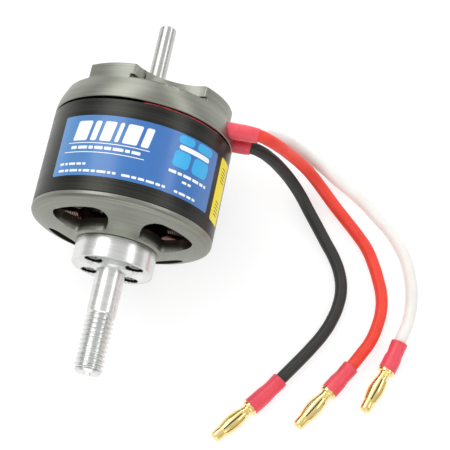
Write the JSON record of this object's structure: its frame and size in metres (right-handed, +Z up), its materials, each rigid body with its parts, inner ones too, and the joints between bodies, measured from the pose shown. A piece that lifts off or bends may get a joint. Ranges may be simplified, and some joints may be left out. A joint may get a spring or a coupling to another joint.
{
  "type": "brushless outrunner motor",
  "caption": "Brushless outrunner motor for model aircraft, lying on its side, with a bolt-on propeller adapter, rear shaft and three bullet-plug leads.",
  "frame": {"origin": "on the resting surface, under the shaft axis, halfway between the rear shaft tip and the propeller thread's tip; the motor lies on its side", "axes": "+Y along the shaft toward its free rear end, so the propeller adapter points to -Y; +X toward the three leads; +Z up"},
  "size_m": [0.137, 0.1371, 0.0631],
  "materials": {
    "titanium_anodised": "satin grey anodised aluminium with fine turning marks",
    "smoked_steel": "dark smoked grey plated steel, satin",
    "bright_aluminium": "bright machined aluminium",
    "ground_steel": "ground and polished steel",
    "black_oxide_steel": "black oxide steel",
    "lamination_steel": "stacked lamination steel with dark varnish",
    "enamelled_copper": "red enamelled copper wire",
    "nickel_plate": "nickel-plated neodymium magnet",
    "gold_plate": "polished gold plate",
    "blue_film": "printed blue film with plain shapes, no lettering",
    "yellow_film": "printed yellow film, blank",
    "heat_shrink_red": "pink-red heat-shrink tube, slightly wrinkled",
    "silicone_black": "black silicone wire insulation",
    "silicone_red": "red silicone wire insulation",
    "silicone_white": "white silicone wire insulation"
  },
  "bodies": {
    "stator": {"mount_plate": "titanium_anodised", "stator_core": "lamination_steel", "stator_coil_01": "enamelled_copper", "stator_coil_02": "enamelled_copper", "stator_coil_03": "enamelled_copper", "stator_coil_04": "enamelled_copper", "stator_coil_05": "enamelled_copper", "stator_coil_06": "enamelled_copper", "stator_coil_07": "enamelled_copper", "stator_coil_08": "enamelled_copper", "stator_coil_09": "enamelled_copper", "stator_coil_10": "enamelled_copper", "stator_coil_11": "enamelled_copper", "stator_coil_12": "enamelled_copper", "rear_bearing_outer_race": "ground_steel", "front_bearing_outer_race": "ground_steel", "black_exit_sleeve": "heat_shrink_red", "black_lead_wire": "silicone_black", "black_plug_sleeve": "heat_shrink_red", "black_bullet_plug": "gold_plate", "red_exit_sleeve": "heat_shrink_red", "red_lead_wire": "silicone_red", "red_plug_sleeve": "heat_shrink_red", "red_bullet_plug": "gold_plate", "white_exit_sleeve": "heat_shrink_red", "white_lead_wire": "silicone_white", "white_plug_sleeve": "heat_shrink_red", "white_bullet_plug": "gold_plate"},
    "rotor": {"bell_end": "titanium_anodised", "flux_ring": "smoked_steel", "rotor_magnet_01": "nickel_plate", "rotor_magnet_02": "nickel_plate", "rotor_magnet_03": "nickel_plate", "rotor_magnet_04": "nickel_plate", "rotor_magnet_05": "nickel_plate", "rotor_magnet_06": "nickel_plate", "rotor_magnet_07": "nickel_plate", "rotor_magnet_08": "nickel_plate", "rotor_magnet_09": "nickel_plate", "rotor_magnet_10": "nickel_plate", "rotor_magnet_11": "nickel_plate", "rotor_magnet_12": "nickel_plate", "rotor_magnet_13": "nickel_plate", "rotor_magnet_14": "nickel_plate", "motor_shaft": "ground_steel", "rear_retaining_clip": "black_oxide_steel", "rear_thrust_washer": "ground_steel", "bell_set_screw_1": "black_oxide_steel", "bell_set_screw_2": "black_oxide_steel", "prop_adapter": "bright_aluminium", "adapter_screw_1": "ground_steel", "adapter_screw_2": "ground_steel", "adapter_screw_3": "ground_steel", "adapter_screw_4": "ground_steel", "rear_bearing_inner_race": "ground_steel", "front_bearing_inner_race": "ground_steel", "rotor_main_label": "blue_film", "rotor_side_label": "yellow_film"},
    "rear_cage": {"rear_bearing_ball_cage": "ground_steel"},
    "front_cage": {"front_bearing_ball_cage": "ground_steel"}
  },
  "joints": [
    {"name": "rotor_spin", "type": "hinge", "parent": "stator", "child": "rotor", "pos_m": [0, 0, 0.0315], "axis": [0, -1, 0], "continuous": true},
    {"name": "rear_cage_spin", "type": "hinge", "parent": "stator", "child": "rear_cage", "pos_m": [0, 0.0312, 0.0315], "axis": [0, -1, 0], "continuous": true},
    {"name": "front_cage_spin", "type": "hinge", "parent": "stator", "child": "front_cage", "pos_m": [0, -0.0054, 0.0315], "axis": [0, -1, 0], "continuous": true}
  ],
  "couplings": [
    {"joint": "rear_cage_spin", "follows": "rotor_spin", "ratio": 0.42},
    {"joint": "front_cage_spin", "follows": "rotor_spin", "ratio": 0.42}
  ]
}
